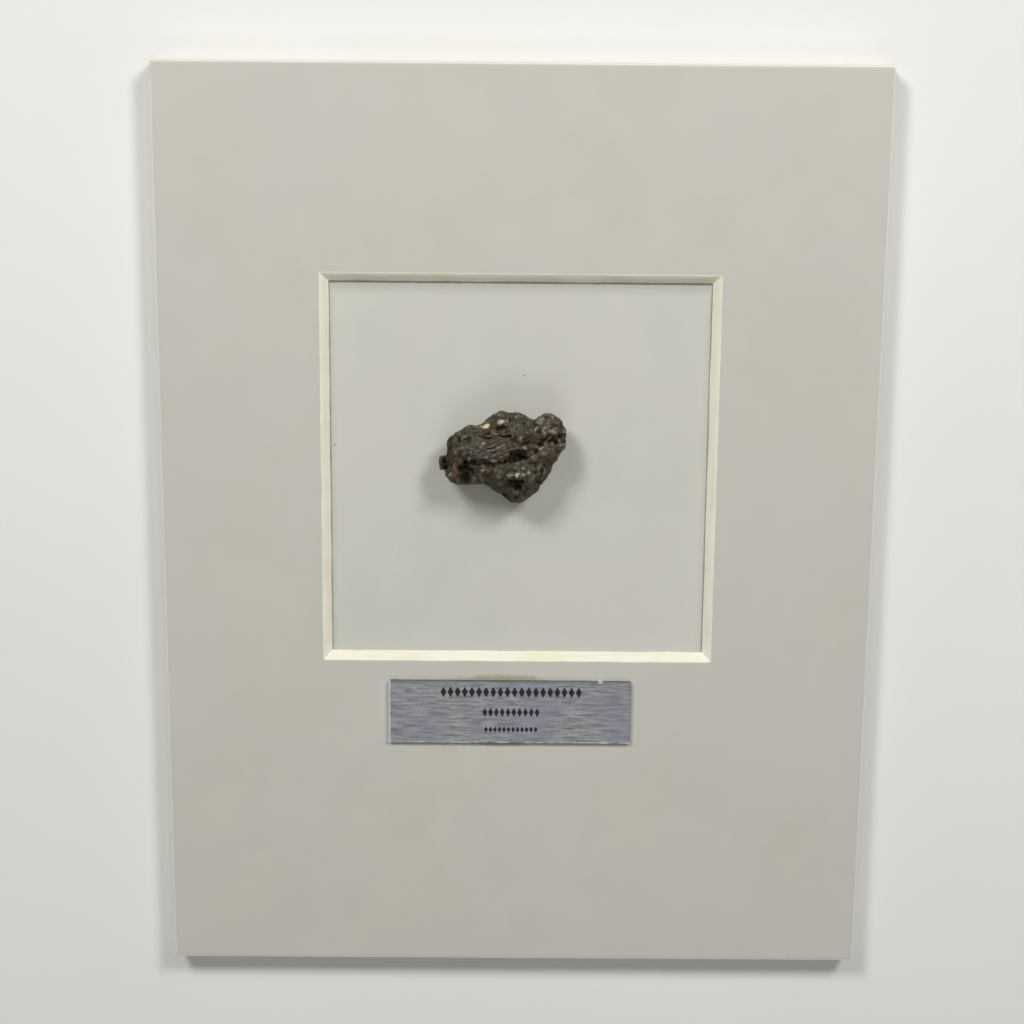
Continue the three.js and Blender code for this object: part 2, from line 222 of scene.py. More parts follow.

# Pale grains, and pale streaks on the ropes that are painted highlights: place, half sizes, angle in
# degrees, strength
PALE_GRAINS_AND_HIGHLIGHTS = [
    ((-0.45, 5.25), (0.5, 0.27), 0, 1.0), ((1.95, -2.8), (0.3, 0.36), 0, 1.0),
    ((1.0, -2.7), (0.5, 0.22), -10, 0.35), ((2.9, -2.7), (0.35, 0.24), 15, 0.35),
    ((3.0, -1.75), (0.24, 0.22), 0, 0.5), ((6.0, 3.7), (0.28, 0.2), -30, 0.9),
    ((5.5, 5.2), (0.15, 0.22), 0, 0.5), ((4.8, 5.3), (0.1, 0.3), 0, 0.6),
    ((4.8, 4.3), (0.12, 0.35), 0, 0.6), ((3.1, 1.4), (0.26, 0.2), 0, 0.8),
    ((2.5, 2.7), (0.2, 0.25), 0, 0.5), ((-5.1, -0.3), (0.2, 0.2), 0, 0.8),
    ((-6.3, 1.1), (0.15, 0.15), 0, 0.7), ((-2.9, 2.1), (0.2, 0.2), 0, 0.6),
    # the thin streaks angled at 10 to 30 degrees on this line and the next three are painted
    # highlights on the ropes
    ((-2.3, 0.75), (0.4, 0.13), 10, 0.5), ((-1.5, 1.1), (0.35, 0.12), 24, 0.45),
    ((-0.7, 1.3), (0.4, 0.15), 16, 0.45), ((0.0, 1.75), (0.3, 0.13), 28, 0.4),
    ((-1.2, -0.6), (0.4, 0.14), 12, 0.4), ((-0.4, -0.15), (0.35, 0.13), 30, 0.4),
    ((-1.3, 0.35), (0.35, 0.11), 18, 0.4), ((-3.0, -2.0), (0.26, 0.2), 0, 0.5),
    ((-3.6, 4.6), (0.6, 0.2), -8, 0.5),
    ((5.2, -1.7), (0.12, 0.5), -12, 0.35), ((6.1, -2.1), (0.1, 0.4), 10, 0.3),
    ((5.6, 1.4), (0.3, 0.18), 20, 0.5), ((3.7, -2.4), (0.3, 0.3), 0, 0.4),
]
CREAM = [((-2.6, 4.6), (0.55, 0.3), 24, 1.0)]

# Rust-brown and olive patches: centre, half sizes, angle in degrees, strength
RUSTY = [
    ((-1.0, 3.6), (2.8, 1.0), -3, 1.0), ((4.6, 2.5), (1.9, 1.5), 0, 1.0),
    ((-6.3, -1.9), (1.4, 1.6), 0, 0.9), ((-1.1, -1.3), (1.6, 0.6), 8, 0.8),
    ((5.4, 0.2), (1.9, 0.9), 37, 0.6), ((2.3, -4.9), (1.1, 1.6), 0, 0.6),
    ((7.6, 3.0), (1.4, 0.5), -10, 0.7), ((0.6, 4.5), (0.8, 0.6), 0, 0.6),
    ((1.0, 0.4), (3.2, 1.1), 19, 0.3),
]
OLIVE = [
    ((4.9, -3.7), (1.7, 2.0), -15, 0.9), ((-8.75, -0.9), (0.9, 1.1), 0, 0.9),
    ((-1.5, -4.2), (1.2, 1.5), -50, 0.7), ((-5.7, 3.6), (1.7, 1.0), 25, 0.6),
    ((3.0, 5.3), (1.7, 1.2), -8, 0.5), ((8.0, 0.2), (0.8, 1.9), -20, 0.7),
    ((0.9, -1.7), (1.7, 0.8), 0, 0.55), ((-3.0, -2.6), (0.9, 0.7), 0, 0.6),
    ((-3.0, -0.6), (0.8, 0.4), 0, 0.6),
]

# Places with a smoother skin: centre, half sizes, angle in degrees, strength
CALM = [
    ((-1.3, -4.0), (1.5, 1.3), 0, 1.0), ((0.8, -4.5), (1.5, 0.8), 0, 1.0),
    ((5.8, 0.2), (2.4, 1.0), 36, 0.7), ((-7.2, 0.6), (0.9, 1.6), 0, 0.6),
]


# Shader helpers


def material(name):
    """A new material and its node tree, with only the principled shader in it."""
    made = bpy.data.materials.new(name)
    made.use_nodes = True
    return made, made.node_tree, made.node_tree.nodes["Principled BSDF"]


def put(tree, kind, inputs=None, **settings):
    """Adds a node. Each input is a plain value or another node's output."""
    made = tree.nodes.new(kind)
    for key, value in settings.items():
        setattr(made, key, value)
    for key, value in (inputs or {}).items():
        if isinstance(value, bpy.types.NodeSocket):
            tree.links.new(value, made.inputs[key])
        else:
            made.inputs[key].default_value = value
    return made


def math_node(tree, operation, *values):
    return put(tree, "ShaderNodeMath", dict(enumerate(values)), operation=operation).outputs[0]


def vector_node(tree, operation, *values):
    return put(tree, "ShaderNodeVectorMath", dict(enumerate(values)), operation=operation).outputs[0]


def plus(tree, a, b):
    return math_node(tree, "ADD", a, b)


def minus(tree, a, b):
    return math_node(tree, "SUBTRACT", a, b)


def times(tree, a, b):
    return math_node(tree, "MULTIPLY", a, b)


def larger(tree, a, b):
    return math_node(tree, "MAXIMUM", a, b)


def absolute(tree, a):
    return math_node(tree, "ABSOLUTE", a)


def swing(tree, value, size):
    """A value that runs from 0 to 1, made to swing about 0 by half the size each way."""
    return math_node(tree, "MULTIPLY_ADD", value, size, -size / 2)


def smooth_step(tree, value, low, high):
    """0 where value is at low, 1 where it is at high, and smooth between."""
    ends = {"Value": value, "From Min": low, "From Max": high}
    return put(tree, "ShaderNodeMapRange", ends, interpolation_type="SMOOTHSTEP").outputs["Result"]


def mix(tree, factor, a, b):
    """Mixes two colours."""
    made = put(tree, "ShaderNodeMix", data_type="RGBA")
    for socket, value in ((made.inputs[0], factor), (made.inputs[6], a), (made.inputs[7], b)):
        if isinstance(value, bpy.types.NodeSocket):
            tree.links.new(value, socket)
        else:
            socket.default_value = value
    return made.outputs[2]


def tint(red, green, blue):
    """A colour given as the 0 to 255 values that it shows on a screen."""
    shares = [c / 255 for c in (red, green, blue)]
    linear = [((c + 0.055) / 1.055) ** 2.4 if c > 0.04 else c / 12.92 for c in shares]
    return (*linear, 1.0)


def shaded(colour, gain):
    """The same colour, lighter or darker."""
    return (*(min(c * gain, 1) for c in colour[:3]), 1.0)


def place(tree):
    """Points of the mount in millimetres."""
    at = put(tree, "ShaderNodeNewGeometry").outputs["Position"]
    return vector_node(tree, "MULTIPLY", at, (1000, 1000, 1000))


def speckle(tree, at, wavelength, detail=3, rough=0.55, stretch=(1, 1, 1)):
    """Noise from 0 to 1 with a wavelength in millimetres."""
    scaled = vector_node(tree, "MULTIPLY", at, stretch)
    inputs = {"Vector": scaled, "Scale": 1 / wavelength, "Detail": detail, "Roughness": rough}
    return put(tree, "ShaderNodeTexNoise", inputs).outputs[0]


def bump(tree, shader, height, depth_mm, strength):
    inputs = {"Height": height, "Distance": depth_mm * MM, "Strength": strength}
    tree.links.new(put(tree, "ShaderNodeBump", inputs).outputs["Normal"], shader.inputs["Normal"])


def across_from(tree, at, centre):
    """How far to the right of a centre on the mount each point is, and how far above it."""
    offset = vector_node(tree, "SUBTRACT", at, (*centre, 0))
    split = put(tree, "ShaderNodeSeparateXYZ", {0: offset})
    return split.outputs["X"], split.outputs["Y"]


def blot(tree, at, centre, half, wobble=None):
    """1 at the middle of an ellipse on the mount, 0 from its edge outwards."""
    offset = vector_node(tree, "SUBTRACT", at, (*centre, 0))
    scaled = vector_node(tree, "MULTIPLY", offset, (1 / half[0], 1 / half[1], 0))
    far = put(tree, "ShaderNodeVectorMath", {0: scaled}, operation="LENGTH").outputs["Value"]
    if wobble is not None:
        far = plus(tree, far, wobble)
    return smooth_step(tree, far, 1.0, 0.35)


# Paper and board


def paper_face(tree, at, face):
    """Fibrous paper, a little uneven in tone and hue, with a few small flecks."""
    mottle = smooth_step(tree, speckle(tree, at, 9, 4), 0.35, 0.65)
    paper = mix(tree, mottle, shaded(face, 0.98), shaded(face, 1.015))
    drift = smooth_step(tree, speckle(tree, at, 26, 3), 0.4, 0.6)
    cooler = (face[0] * 1.01, face[1] * 0.995, face[2] * 1.04, 1.0)
    paper = mix(tree, times(tree, drift, 0.5), paper, cooler)
    grain = speckle(tree, at, PAPER_GRAIN_MM, 4, 0.7)
    fibres = times(tree, smooth_step(tree, grain, 0.3, 0.75), 0.1)
    paper = mix(tree, fibres, paper, shaded(face, 1.03))
    cells = put(tree, "ShaderNodeTexVoronoi", {"Vector": at, "Scale": 0.28, "Randomness": 1.0})
    near = plus(tree, cells.outputs["Distance"], times(tree, grain, 0.03))
    flecks = times(tree, smooth_step(tree, near, 0.045, 0.03), 0.2)
    return mix(tree, flecks, paper, tint(120, 112, 92))


def paper_core(tree, at, core):
    """The layered pulp of a cut edge, yellowed in places."""
    pulp = mix(tree, speckle(tree, at, 0.4, 3), shaded(core, 0.93), shaded(core, 1.03))
    layers = smooth_step(tree, speckle(tree, at, 0.4, 2, 0.5, (0.05, 0.05, 1)), 0.45, 0.7)
    pulp = mix(tree, times(tree, layers, 0.16), pulp, shaded(core, 0.6))
    aged = smooth_step(tree, speckle(tree, at, 7, 3), 0.5, 0.72)
    return mix(tree, times(tree, aged, 0.35), pulp, tint(226, 219, 178))


def paper_colour(tree, at, face, core):
    """Paper on the flat faces, and the pulp core where the board is cut."""
    normal = put(tree, "ShaderNodeNewGeometry").outputs["Normal"]
    level = absolute(tree, put(tree, "ShaderNodeSeparateXYZ", {0: normal}).outputs["Z"])
    cut = smooth_step(tree, level, 0.995, 0.95)
    return mix(tree, cut, paper_face(tree, at, face), paper_core(tree, at, core))


def finish_paper(tree, shader, at, colour):
    tree.links.new(colour, shader.inputs["Base Color"])
    shader.inputs["Roughness"].default_value = 0.88
    shader.inputs["Specular IOR Level"].default_value = 0.25
    grain = speckle(tree, at, PAPER_GRAIN_MM, 4, 0.7)
    fibre = speckle(tree, at, 0.5, 2, 0.6, (0.35, 1, 1))
    bump(tree, shader, plus(tree, times(tree, grain, 0.6), times(tree, fibre, 0.4)), 0.035, 0.6)


def lip_highlight(tree, at):
    """1 along the top of the window: the paper's pale cut edge, brightened there as a painted
    highlight.
    """
    x, y = across_from(tree, at, WINDOW_CENTRE_MM)
    above = minus(tree, y, WINDOW_FACE_HALF_MM)
    inside = minus(tree, LIP_HIGHLIGHT_HALF_MM, absolute(tree, x))
    line = times(tree, smooth_step(tree, above, -0.1, 0.0), smooth_step(tree, above, 0.26, 0.14))
    return times(tree, line, smooth_step(tree, inside, -0.05, 0.05))


def mat_material():
    """Grey paper, with old stains above and below the plate."""
    made, tree, shader = material("mat_paper")
    at = place(tree)
    colour = paper_colour(tree, at, tint(191, 189, 178), tint(236, 232, 214))
    # painted highlight along the top of the window's cut edge
    colour = mix(tree, times(tree, lip_highlight(tree, at), 0.7), colour, tint(230, 225, 214))
    wobble = swing(tree, speckle(tree, at, 1.2, 3), 0.9)
    for centre, half in MAT_STAINS_MM:
        stain = blot(tree, at, centre, half, wobble)
        colour = mix(tree, times(tree, stain, 0.6), colour, tint(146, 142, 106))
    finish_paper(tree, shader, at, colour)
    return made


def crease_shade(tree, at):
    """Painted shade where the mat meets the backing board, 1 along the window's foot: a dark line
    and a soft haze, at the top and the sides.
    """
    x, y = across_from(tree, at, WINDOW_CENTRE_MM)
    uneven = swing(tree, speckle(tree, at, 1.5, 3), 0.16)
    far_side = minus(tree, WINDOW_HALF_MM, absolute(tree, x))
    side = plus(tree, far_side, uneven)
    top = plus(tree, minus(tree, WINDOW_HALF_MM, y), uneven)
    side_line = times(tree, smooth_step(tree, side, 0.32, 0.12), 0.62)
    top_line = times(tree, smooth_step(tree, top, 0.42, 0.2), 0.85)
    side_haze = times(tree, smooth_step(tree, side, 1.4, -0.2), 0.16)
    top_haze = times(tree, smooth_step(tree, top, 2.4, -0.2), 0.3)
    line = larger(tree, side_line, top_line)
    haze = larger(tree, side_haze, top_haze)
    far_end = minus(tree, WINDOW_HALF_MM, absolute(tree, y))
    near_window = smooth_step(tree, math_node(tree, "MINIMUM", far_side, far_end), -2.0, -1.0)
    return times(tree, larger(tree, line, haze), near_window)


def backing_material():
    """Paler paper, with a few small marks and painted shade along the window's foot."""
    made, tree, shader = material("backing_paper")
    at = place(tree)
    colour = paper_colour(tree, at, tint(196, 195, 185), tint(214, 210, 198))
    for centre, half, shade in BACKING_MARKS_MM:
        mark = times(tree, blot(tree, at, centre, half), 0.8)
        colour = mix(tree, mark, colour, tint(*shade))
    # painted shade: a dark line and a soft haze along the window's foot
    colour = mix(tree, crease_shade(tree, at), colour, tint(74, 68, 54))
    finish_paper(tree, shader, at, colour)
    return made


# The label plate's metal


def lozenges(tree, at):
    """1 on the rows of lozenges printed on the plate."""
    split = put(tree, "ShaderNodeSeparateXYZ", {0: at})
    x = minus(tree, split.outputs["X"], PRINT_CENTRE_X_MM)
    total = None
    for row_y, half_length, half_height, spacing in LOZENGE_ROWS:
        y = absolute(tree, minus(tree, split.outputs["Y"], row_y))
        turn = math_node(tree, "FRACT", math_node(tree, "DIVIDE", x, spacing))
        across = times(tree, absolute(tree, minus(tree, turn, 0.5)), 2.15)
        size = plus(tree, across, math_node(tree, "DIVIDE", y, half_height))
        ends = smooth_step(tree, absolute(tree, x), half_length, half_length - 0.05)
        row = times(tree, smooth_step(tree, size, 1.0, 0.86), ends)
        total = row if total is None else larger(tree, total, row)
    return total


def rim_highlights_and_shade(tree, at):
    """Where the plate's filed edge shows bare metal on the left and below, brightened as a painted
    highlight, the whitish chip at the nick, and painted shade along the top edge.
    """
    half_x, half_y = PLATE_HALF_MM
    x, y = across_from(tree, at, PLATE_CENTRE_MM)
    left = plus(tree, x, half_x)
    below = plus(tree, y, half_y)
    above = minus(tree, half_y, y)
    specks = smooth_step(tree, speckle(tree, at, 1.1, 4, 0.7, (0.5, 2, 1)), 0.45, 0.58)
    left_rim_highlight = times(tree, smooth_step(tree, left, 0.34, 0.2), 0.75)
    lower_rim_highlight = times(tree, smooth_step(tree, below, 0.26, 0.12), specks)
    upper_rim_shade = smooth_step(tree, above, 0.34, 0.1)
    chip_y = PLATE_CENTRE_MM[1] + half_y - CHIP_DROP_MM
    chip = blot(tree, at, (NICK_X_MM, chip_y), CHIP_HALF_MM)
    rim_highlight_and_chip = larger(tree, left_rim_highlight, lower_rim_highlight)
    return larger(tree, rim_highlight_and_chip, times(tree, chip, 0.6)), upper_rim_shade


def plate_material():
    """Brushed grey metal with the brush marks along its length."""
    made, tree, shader = material("brushed_plate")
    at = place(tree)
    streak = speckle(tree, at, 0.42, 5, 0.75, (0.12, 1, 1))
    fine = speckle(tree, at, 0.16, 3, 0.7, (0.06, 1, 1))
    cloud = smooth_step(tree, speckle(tree, at, 6, 3, 0.6, (1, 0.6, 1)), 0.4, 0.62)
    brushed = smooth_step(tree, streak, 0.34, 0.66)
    colour = mix(tree, brushed, tint(114, 117, 117), tint(177, 179, 182))
    hairlines = times(tree, smooth_step(tree, fine, 0.4, 0.7), 0.3)
    colour = mix(tree, hairlines, colour, tint(186, 188, 192))
    colour = mix(tree, times(tree, cloud, 0.4), colour, tint(146, 146, 164))
    rim_highlight_and_chip, top_rim_shade = rim_highlights_and_shade(tree, at)
    # painted shade along the plate's top edge
    colour = mix(tree, times(tree, top_rim_shade, 0.6), colour, tint(96, 98, 96))
    # painted highlights on the bare left and lower edges, and the whitish chip at the nick
    colour = mix(tree, rim_highlight_and_chip, colour, tint(232, 233, 230))
    ink = lozenges(tree, at)
    tree.links.new(mix(tree, ink, colour, tint(12, 12, 14)), shader.inputs["Base Color"])
    dulled = larger(tree, ink, times(tree, rim_highlight_and_chip, 0.6))
    tree.links.new(math_node(tree, "MULTIPLY_ADD", dulled, -0.8, 0.8), shader.inputs["Metallic"])
    rough = math_node(tree, "MULTIPLY_ADD", streak, 0.22, 0.42)
    tree.links.new(larger(tree, rough, times(tree, ink, 0.6)), shader.inputs["Roughness"])
    bump(tree, shader, plus(tree, times(tree, streak, 0.5), times(tree, fine, 0.5)), 0.02, 0.5)
    return made


# The rock


def attribute(tree, name):
    return put(tree, "ShaderNodeAttribute", attribute_name=name).outputs["Fac"]


def cavity_shaded_tones(tree, height, tones):
    """A colour for the hollows, one for the slopes and one for the crests: painted shade low down
    and a painted highlight on the crests.
    """
    low, middle, high = (tint(*tone) for tone in tones)
    lower = mix(tree, smooth_step(tree, height, -1.0, 0.5), low, middle)
    return mix(tree, smooth_step(tree, height, 0.45, 1.5), lower, high)


def rock_body(tree, at, relief, grain):
    """Grey rock, brown or olive in places, with painted highlights on its crests and painted shade
    in its hollows.
    """
    height = plus(tree, relief, swing(tree, grain, 2.3))
    height = plus(tree, height, swing(tree, speckle(tree, at, 0.8, 3, 0.6), 3.4))
    grey = cavity_shaded_tones(tree, height, GREY_ROCK)
    brown = cavity_shaded_tones(tree, height, BROWN_ROCK)
    olive = cavity_shaded_tones(tree, height, OLIVE_ROCK)
    cloud = smooth_step(tree, speckle(tree, at, 2.2, 4), 0.5, 0.68)
    body = mix(tree, times(tree, cloud, 0.6), grey, brown)
    body = mix(tree, attribute(tree, "olive"), body, olive)
    rust = times(tree, attribute(tree, "rust"), smooth_step(tree, grain, 0.2, 0.5))
    return mix(tree, rust, body, brown)


def glints_and_dust(tree, at, relief, dust, shade_and_dark_rock, body):
    """Painted glints as small pale specks on the rock's crests, and dust everywhere but in the
    hollows.
    """
    cells = put(tree, "ShaderNodeTexVoronoi", {"Vector": at, "Scale": 1.9, "Randomness": 1.0})
    chosen = smooth_step(tree, cells.outputs["Color"], 0.6, 0.66)
    crest_glint = times(tree, smooth_step(tree, cells.outputs["Distance"], 0.32, 0.1), chosen)
    crest_glint = times(tree, crest_glint, smooth_step(tree, relief, -0.3, 0.3))
    # painted glints on the crests
    body = mix(tree, times(tree, crest_glint, 0.3), body, tint(148, 139, 121))
    dusted = times(tree, smooth_step(tree, dust, 0.58, 0.75), minus(tree, 1.0, shade_and_dark_rock))
    return mix(tree, times(tree, dusted, 0.5), body, tint(143, 134, 114))


def pale_marks(tree, grain, body):
    """The larger pale and cream-coloured grains, and the painted highlight streaks on the ropes."""
    pale = times(tree, attribute(tree, "pale"), smooth_step(tree, grain, 0.25, 0.58))
    body = mix(tree, pale, body, tint(190, 182, 164))
    cream = times(tree, attribute(tree, "cream"), smooth_step(tree, grain, 0.15, 0.45))
    return mix(tree, cream, body, tint(222, 207, 158))


def stone_material():
    """Dark grey rock, rust-brown or olive in places, with painted shade in its hollows, painted
    glints and highlights, and pale grains.
    """
    made, tree, shader = material("lunar_rock")
    at = place(tree)
    relief = attribute(tree, "relief")
    grain = speckle(tree, at, 0.32, 4, 0.7)
    dust = speckle(tree, at, 0.14, 3, 0.7)
    broad_hollow_shade = times(tree, smooth_step(tree, attribute(tree, "hollow"), 0.05, 1.0), 0.8)
    shade_and_dark_rock = larger(tree, broad_hollow_shade, attribute(tree, "dark"))

    body = rock_body(tree, at, relief, grain)
    # painted shade in the hollows and pits, together with the rock's own darker patches
    body = mix(tree, times(tree, shade_and_dark_rock, 0.92), body, tint(17, 12, 7))
    body = glints_and_dust(tree, at, relief, dust, shade_and_dark_rock, body)
    tree.links.new(pale_marks(tree, grain, body), shader.inputs["Base Color"])

    rough = math_node(tree, "MULTIPLY_ADD", grain, 0.3, 0.42)
    shine = math_node(tree, "MULTIPLY_ADD", shade_and_dark_rock, -0.35, 0.4)
    tree.links.new(rough, shader.inputs["Roughness"])
    tree.links.new(shine, shader.inputs["Specular IOR Level"])
    bump(tree, shader, plus(tree, times(tree, grain, 0.6), times(tree, dust, 0.4)), 0.12, 0.8)
    return made


def floor_material():
    made, tree, shader = material("studio_floor")
    shade = mix(tree, speckle(tree, place(tree), 60, 3), tint(222, 221, 217), tint(230, 229, 226))
    tree.links.new(shade, shader.inputs["Base Color"])
    shader.inputs["Roughness"].default_value = 0.9
    return made


# Meshes and fields of values


def read_points(mesh):
    points = np.zeros(len(mesh.vertices) * 3)
    mesh.vertices.foreach_get("co", points)
    return points.reshape(-1, 3)


def write_points(mesh, points):
    mesh.vertices.foreach_set("co", points.ravel())
    mesh.update()


def normals_of(mesh):
    normals = np.zeros(len(mesh.vertices) * 3)
    mesh.vertex_normals.foreach_get("vector", normals)
    return normals.reshape(-1, 3)


def edges_of(mesh):
    ends = np.zeros(len(mesh.edges) * 2, int)
    mesh.edges.foreach_get("vertices", ends)
    return ends.reshape(-1, 2)


def smoothed(values, edges, rounds):
    """Values of the vertices, each moved to the mean of its neighbours, over and over."""
    count = len(values)
    near = np.bincount(edges.ravel(), minlength=count)
    columns = values.reshape(count, -1).copy()
    for _ in range(rounds):
        for k in range(columns.shape[1]):
            total = np.bincount(edges[:, 0], columns[edges[:, 1], k], count)
            total += np.bincount(edges[:, 1], columns[edges[:, 0], k], count)
            columns[:, k] = (columns[:, k] + total / near) / 2
    return columns.reshape(values.shape)


def noise_at(points, wavelength, seed=0.0):
    """Smooth noise from about -1 to 1 at each point. Another seed gives another field."""
    return np.array([noise.noise(p) for p in (points / wavelength + seed).tolist()])


def cells_at(points, wavelength, seed=0.0):
    """How near each point is to its grain's border: 0 on it and about 1 at the middle."""
    gaps = []
    for p in (points / wavelength + seed).tolist():
        nearest = noise.voronoi(p)[0]
        gaps.append(nearest[1] - nearest[0])
    return np.clip(np.array(gaps) * 1.6, 0, 1)


def stored(mesh, name, values):
    layer = mesh.attributes.new(name, "FLOAT", "POINT")
    layer.data.foreach_set("value", np.clip(values, -1, 1).astype(np.float32))


def take_place(mesh, look, node_name):
    """Puts a mesh in the scene in place of a node of the solid model."""
    mesh.materials.append(look)
    piece = bpy.data.objects.new(mesh.name, mesh)
    bpy.context.scene.collection.objects.link(piece)
    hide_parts(node_name)
    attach(piece, "root")


def stacked(name, loops):
    """A closed mesh through loops of points, each loop given with its height."""
    bm = bmesh.new()
    rings = []
    for loop, height in loops:
        rings.append([bm.verts.new((x * MM, y * MM, height * MM)) for x, y in loop])
    for low, high in zip(rings, rings[1:]):
        for i in range(len(low)):
            j = (i + 1) % len(low)
            bm.faces.new((low[i], low[j], high[j], high[i]))
    return bm, rings, bpy.data.meshes.new(name)


# The stone


def turned(offset, angle_deg):
    """Offsets along and across a direction."""
    angle = math.radians(angle_deg)
    x, y = offset.T
    along = x * math.cos(angle) + y * math.sin(angle)
    across = y * math.cos(angle) - x * math.sin(angle)
    return along, across


def patch(seen, centre, half, angle_deg=0.0, hardness=2):
    """1 in an ellipse as the camera sees it, falling to 0 round it."""
    along, across = turned(seen - np.array(centre), angle_deg)
    return np.exp(-(((along / half[0]) ** 2 + (across / half[1]) ** 2) ** hardness))


def covered(seen, patches, hardness=2):
    """How strongly the patches of a list cover each point, added up."""
    total = np.zeros(len(seen))
    for centre, half, angle_deg, strength in patches:
        total += strength * patch(seen, centre, half, angle_deg, hardness)
    return total


def path_distance(seen, path):
    """How far each point, as the camera sees it, is from a path."""
    nearest = np.full(len(seen), np.inf)
    for a, b in zip(path, path[1:]):
        a = np.array(a)
        along = np.array(b) - a
        share = np.clip(((seen - a) @ along) / (along @ along), 0, 1)
        nearest = np.minimum(nearest, np.linalg.norm(seen - a - share[:, None] * along, axis=1))
    return nearest


def as_seen(points):
    """Where the camera sees the points, across the mount."""
    return points[:, :2] - np.outer(points[:, 2], [0, LEAN])


def cell_sphere():
    """A sphere of even four-sided cells: a mesh, and its unit directions."""
    bm = bmesh.new()
    bmesh.ops.create_cube(bm, size=2)
    bmesh.ops.subdivide_edges(bm, edges=bm.edges[:], cuts=CELLS - 1, use_grid_fill=True)
    mesh = bpy.data.meshes.new("stone_skin")
    bm.to_mesh(mesh)
    bm.free()
    ways = np.tan(read_points(mesh) * math.pi / 4) * STRETCH
    return mesh, ways / np.linalg.norm(ways, axis=1)[:, None]


def solid_skin(ways):
    """The outermost points of the solid stone in each direction."""
    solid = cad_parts["meteorite"].data
    corners = [vertex.co for vertex in solid.vertices]
    tree = BVHTree.FromPolygons(corners, [face.vertices for face in solid.polygons])
    origin = Vector(STONE_ORIGIN_MM * MM)
    reach = OUTSIDE_MM * MM
    hits = [tree.ray_cast(origin + Vector(way) * reach, -Vector(way))[0] for way in ways]
    return np.array(hits) / MM - STONE_ORIGIN_MM


def squared_nub(points):
    """Gives the nub at the left-hand end its blocky form, and says where it is."""
    offset = points - NUB_CENTRE_MM
    size = (np.abs(offset / NUB_HALF_MM) ** NUB_SQUARENESS).sum(1) ** (1 / NUB_SQUARENESS)
    near = np.clip((1.75 - size) / 0.35, 0, 1) * np.clip((0.45 - offset[:, 0]) / 0.4, 0, 1)
    blocky = NUB_CENTRE_MM + offset / size[:, None]
    return points + near[:, None] * (blocky - points), near


def rope_height(seen, points):
    """Ropes that bend, branch and fade, each patch of them with its own direction."""
    bend = 0.34 * noise_at(points, 1.6, 5.0) + 0.1 * noise_at(points, 0.6, 9.0)
    swell = 0.75 + 0.6 * noise_at(points, 1.1, 31.0)
    height = np.zeros(len(points))
    for centre, half_length, half_width, angle_deg, spacing, rise in ROPES:
        weight = patch(seen, centre, (half_length, half_width), angle_deg)
        inside = np.flatnonzero(weight > 0.02)
        along, across = turned(seen[inside] - np.array(centre), angle_deg)
        across = across + bend[inside]
        even = np.abs(np.cos(across / spacing * math.pi)) ** 0.8 - 0.6
        strands = np.stack([along / ROPE_STRETCH, across, points[inside, 2] / ROPE_STRETCH], axis=1)
        branching = np.minimum(np.abs(noise_at(strands, spacing * 1.3, centre[0])) * 2.6, 1) - 0.5
        height[inside] += (0.45 * even + 0.75 * branching) * rise * (weight * swell)[inside]
    return height


def vesicle_height(points, rng):
    """Small round gas holes scattered all over."""
    tree = kdtree.KDTree(len(points))
    for i, p in enumerate(points.tolist()):
        tree.insert(p, i)
    tree.balance()
    height = np.zeros(len(points))
    for start in rng.integers(0, len(points), VESICLES):
        radius = rng.uniform(*VESICLE_RADII_MM)
        depth = radius * rng.uniform(*VESICLE_DEPTHS)
        for _, i, far in tree.find_range(points[start].tolist(), radius):
            height[i] = min(height[i], -depth * (1 - (far / radius) ** 2))
    return height


def grain_height(points, seen, crown):
    """The rock's uneven grain, finer or smoother from place to place."""
    calm = np.clip(covered(seen, CALM), 0, 1) * crown
    uneven = (1 - 0.7 * calm) * (1 + 1.2 * noise_at(points, 2.1, 71.0))
    bent = points + 0.3 * np.stack([noise_at(points, 0.8, k) for k in (53.0, 61.0, 67.0)], axis=1)
    height = uneven * 0.13 * (cells_at(bent, 1.6) ** 0.6 - 0.6)
    height += uneven * 0.19 * (0.35 - np.abs(noise_at(bent, 1.15, 23.0)))
    height += 0.26 * noise_at(points, 1.7, 3.0) + uneven * 0.11 * noise_at(points, 0.5, 11.0)
    return height + 0.05 * noise_at(points, 0.24, 13.0)


def stone_height(points, rng):
    """How far the rock's skin stands out of the smooth form under it."""
    seen = as_seen(points)
    crown = np.clip((points[:, 2] + 1.6) / 1.6, 0, 1)
    frayed = seen + 0.3 * np.stack([noise_at(points, 0.6, k) for k in (83.0, 89.0)], axis=1)
    wander = seen + 0.22 * noise_at(points, 0.9, 17.0)[:, None]
    height = rope_height(seen, points)
    for path, width, depth in SEAMS:
        height -= depth * np.exp(-((path_distance(wander, path) / width) ** 2))
    for centre, half, depth, _ in HOLLOWS:
        height -= depth * patch(frayed, centre, half, 0, 1.4)
    for centre, radius, rise in KNOBS:
        far = np.linalg.norm(frayed - np.array(centre), axis=1) / radius
        height += rise * np.clip(1 - far**2, 0, 1) ** 0.7
    return height * crown + grain_height(points, seen, crown) + vesicle_height(points, rng)


